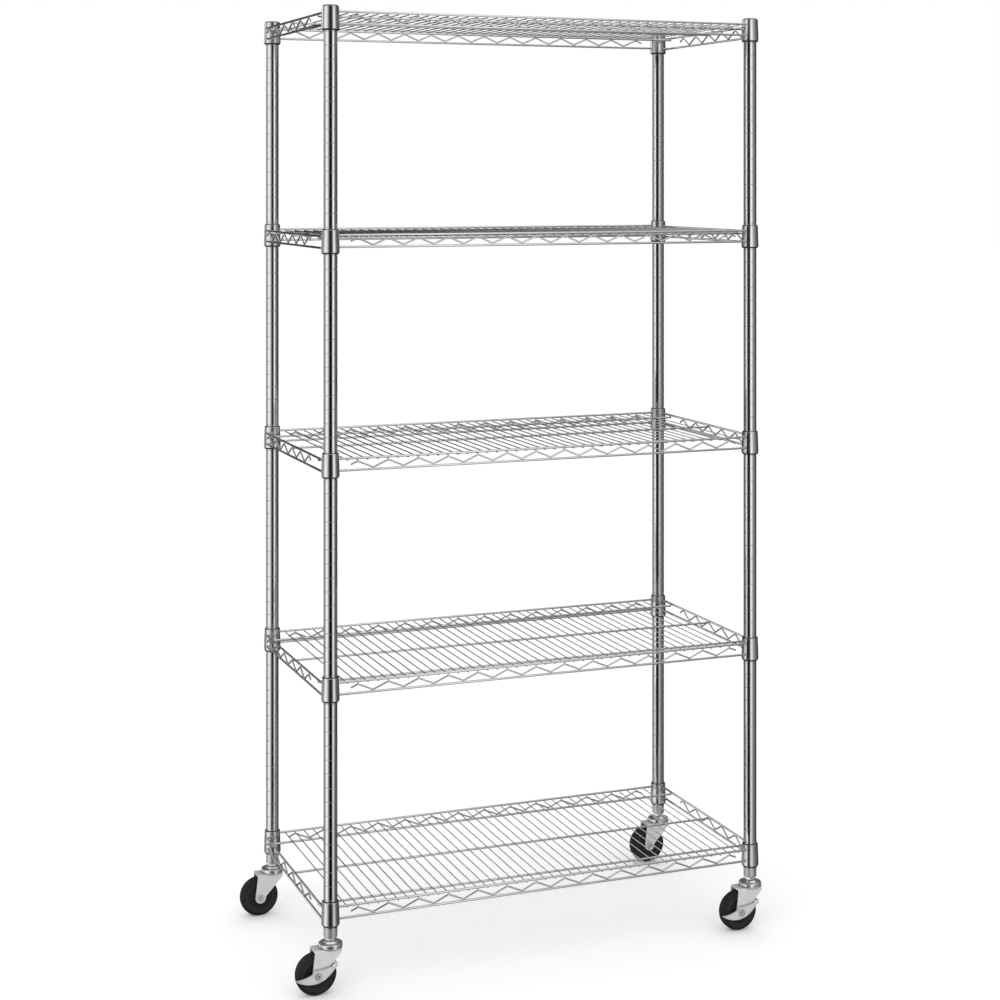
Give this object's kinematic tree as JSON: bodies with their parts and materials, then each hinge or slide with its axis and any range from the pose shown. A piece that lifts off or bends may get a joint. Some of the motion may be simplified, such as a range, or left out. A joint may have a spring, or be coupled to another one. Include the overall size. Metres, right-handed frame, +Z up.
{
  "type": "wire shelving rack",
  "caption": "Mobile wire shelving rack: grooved tube posts carry adjustable welded wire shelves on tapered split sleeves, and swivel stem casters with foot brakes at the front.",
  "frame": {"origin": "on the floor, at the middle of the box that the rack fills in plan", "axes": "+X to the right along the long side, +Y from the front to the rear, +Z up"},
  "size_m": [0.9538, 0.4598, 1.7956],
  "materials": {
    "post_chrome": "polished",
    "shelf_chrome": "polished",
    "sleeve_plastic": "satin moulded",
    "cap_plastic": "moulded",
    "zinc_plate": "bright zinc",
    "steel": "turned",
    "wheel_plastic": "moulded",
    "tyre_rubber": "moulded, smooth tread"
  },
  "bodies": {
    "rack": {"post_front_left": "post_chrome", "post_front_right": "post_chrome", "post_rear_left": "post_chrome", "post_rear_right": "post_chrome", "post_caps": "cap_plastic", "post_inserts": "zinc_plate", "bottom_sleeves": "sleeve_plastic", "lower_sleeves": "sleeve_plastic", "middle_sleeves": "sleeve_plastic", "upper_sleeves": "sleeve_plastic", "top_sleeves": "sleeve_plastic", "bottom_shelf_collars": "shelf_chrome", "bottom_shelf_frame": "shelf_chrome", "bottom_shelf_deck": "shelf_chrome", "top_shelf_collars": "shelf_chrome", "top_shelf_frame": "shelf_chrome", "top_shelf_deck": "shelf_chrome", "caster_stems": "zinc_plate", "caster_upper_races": "zinc_plate", "caster_lower_races": "zinc_plate"},
    "lower_shelf": {"lower_shelf_collars": "shelf_chrome", "lower_shelf_frame": "shelf_chrome", "lower_shelf_deck": "shelf_chrome"},
    "middle_shelf": {"middle_shelf_collars": "shelf_chrome", "middle_shelf_frame": "shelf_chrome", "middle_shelf_deck": "shelf_chrome"},
    "upper_shelf": {"upper_shelf_collars": "shelf_chrome", "upper_shelf_frame": "shelf_chrome", "upper_shelf_deck": "shelf_chrome"},
    "front_left_swivel": {"front_left_fork": "zinc_plate", "front_left_balls": "steel", "front_left_axle": "steel", "front_left_bush": "steel"},
    "front_left_wheel": {"front_left_wheel_core": "wheel_plastic", "front_left_tyre": "tyre_rubber"},
    "front_left_brake_lever": {"front_left_brake": "zinc_plate"},
    "front_right_swivel": {"front_right_fork": "zinc_plate", "front_right_balls": "steel", "front_right_axle": "steel", "front_right_bush": "steel"},
    "front_right_wheel": {"front_right_wheel_core": "wheel_plastic", "front_right_tyre": "tyre_rubber"},
    "front_right_brake_lever": {"front_right_brake": "zinc_plate"},
    "rear_left_swivel": {"rear_left_fork": "zinc_plate", "rear_left_balls": "steel", "rear_left_axle": "steel", "rear_left_bush": "steel"},
    "rear_left_wheel": {"rear_left_wheel_core": "wheel_plastic", "rear_left_tyre": "tyre_rubber"},
    "rear_right_swivel": {"rear_right_fork": "zinc_plate", "rear_right_balls": "steel", "rear_right_axle": "steel", "rear_right_bush": "steel"},
    "rear_right_wheel": {"rear_right_wheel_core": "wheel_plastic", "rear_right_tyre": "tyre_rubber"}
  },
  "joints": [
    {"name": "lower_shelf_lift", "type": "slide", "parent": "rack", "child": "lower_shelf", "axis": [0, 0, 1], "range_m": [0, 0.35]},
    {"name": "middle_shelf_lift", "type": "slide", "parent": "rack", "child": "middle_shelf", "axis": [0, 0, 1], "range_m": [0, 0.35]},
    {"name": "upper_shelf_lift", "type": "slide", "parent": "rack", "child": "upper_shelf", "axis": [0, 0, 1], "range_m": [0, 0.35]},
    {"name": "front_left_caster_swivel", "type": "hinge", "parent": "rack", "child": "front_left_swivel", "pos_m": [-0.40506, -0.208, 0.095], "axis": [0, 0, 1], "continuous": true},
    {"name": "front_left_wheel_spin", "type": "hinge", "parent": "front_left_swivel", "child": "front_left_wheel", "pos_m": [-0.43306, -0.208, 0.038], "axis": [0, 1, 0], "continuous": true},
    {"name": "front_left_brake_release", "type": "hinge", "parent": "front_left_swivel", "child": "front_left_brake_lever", "pos_m": [-0.43306, -0.208, 0.038], "axis": [0, 1, 0], "range_deg": [0, 18]},
    {"name": "front_right_caster_swivel", "type": "hinge", "parent": "rack", "child": "front_right_swivel", "pos_m": [0.45494, -0.208, 0.095], "axis": [0, 0, 1], "continuous": true},
    {"name": "front_right_wheel_spin", "type": "hinge", "parent": "front_right_swivel", "child": "front_right_wheel", "pos_m": [0.42694, -0.208, 0.038], "axis": [0, 1, 0], "continuous": true},
    {"name": "front_right_brake_release", "type": "hinge", "parent": "front_right_swivel", "child": "front_right_brake_lever", "pos_m": [0.42694, -0.208, 0.038], "axis": [0, 1, 0], "range_deg": [0, 18]},
    {"name": "rear_left_caster_swivel", "type": "hinge", "parent": "rack", "child": "rear_left_swivel", "pos_m": [-0.40506, 0.208, 0.095], "axis": [0, 0, 1], "continuous": true},
    {"name": "rear_left_wheel_spin", "type": "hinge", "parent": "rear_left_swivel", "child": "rear_left_wheel", "pos_m": [-0.43306, 0.208, 0.038], "axis": [0, 1, 0], "continuous": true},
    {"name": "rear_right_caster_swivel", "type": "hinge", "parent": "rack", "child": "rear_right_swivel", "pos_m": [0.45494, 0.208, 0.095], "axis": [0, 0, 1], "continuous": true},
    {"name": "rear_right_wheel_spin", "type": "hinge", "parent": "rear_right_swivel", "child": "rear_right_wheel", "pos_m": [0.42694, 0.208, 0.038], "axis": [0, 1, 0], "continuous": true}
  ]
}
